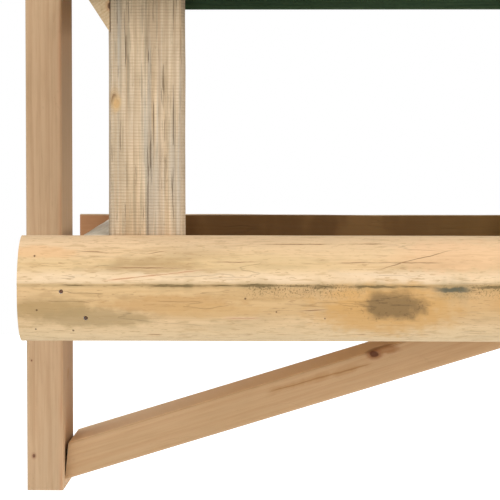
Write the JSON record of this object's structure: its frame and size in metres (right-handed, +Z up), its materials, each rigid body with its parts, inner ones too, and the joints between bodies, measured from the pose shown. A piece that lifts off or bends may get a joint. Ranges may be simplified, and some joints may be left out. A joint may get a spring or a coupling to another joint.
{
  "type": "bird feeder",
  "caption": "Wall-mounted wooden bird feeder: a half-log tray with a slatted floor under a green gable roof, on four posts and a braced wall plank.",
  "frame": {"origin": "on the wall face of the back plank, midway between the two wall screw holes", "axes": "+X away from the wall, +Y to the right as seen from the front, +Z up"},
  "size_m": [0.519, 0.47, 0.62],
  "materials": {
    "peeled_log": "peeled half-round pine, weather-marked",
    "sawn_post": "rough-sawn pine with cross saw marks and blue stain",
    "planed_plank": "planed pine with softened edges",
    "strip_wood": "sawn pine strips",
    "green_wood": "pine boards with dark green stain",
    "screw_steel": "zinc-plated",
    "nail_steel": "dark, weathered"
  },
  "bodies": {
    "root": {"back_plank": "planed_plank", "brace": "planed_plank", "brace_cleat": "strip_wood", "left_rail": "peeled_log", "right_rail": "peeled_log", "wall_rail": "peeled_log", "front_rail": "peeled_log", "left_ledger": "strip_wood", "right_ledger": "strip_wood", "floor_board_1": "strip_wood", "floor_board_2": "strip_wood", "floor_board_3": "strip_wood", "floor_board_4": "strip_wood", "floor_board_5": "strip_wood", "post_left_wall": "sawn_post", "post_left_front": "sawn_post", "post_right_front": "sawn_post", "post_right_wall": "sawn_post", "eave_batten_wall": "strip_wood", "eave_batten_front": "strip_wood", "ridge_batten": "strip_wood", "left_gable_lower": "green_wood", "left_gable_upper": "green_wood", "right_gable_lower": "green_wood", "right_gable_upper": "green_wood", "roof_board_wall_1": "green_wood", "roof_board_wall_2": "green_wood", "roof_board_wall_3": "green_wood", "roof_board_front_1": "green_wood", "roof_board_front_2": "green_wood", "roof_board_front_3": "green_wood", "ridge_cap_wall": "green_wood", "ridge_cap_front": "green_wood", "plank_screws": "screw_steel", "corner_nails": "nail_steel", "ledger_screws": "screw_steel", "cleat_screws": "screw_steel", "brace_head_screws": "screw_steel", "post_screws": "screw_steel", "floor_nails": "nail_steel", "gable_screws": "screw_steel", "ridge_nails": "nail_steel", "roof_nails_wall": "nail_steel", "roof_nails_front": "nail_steel", "ridge_cap_nails": "nail_steel"}
  },
  "joints": []
}
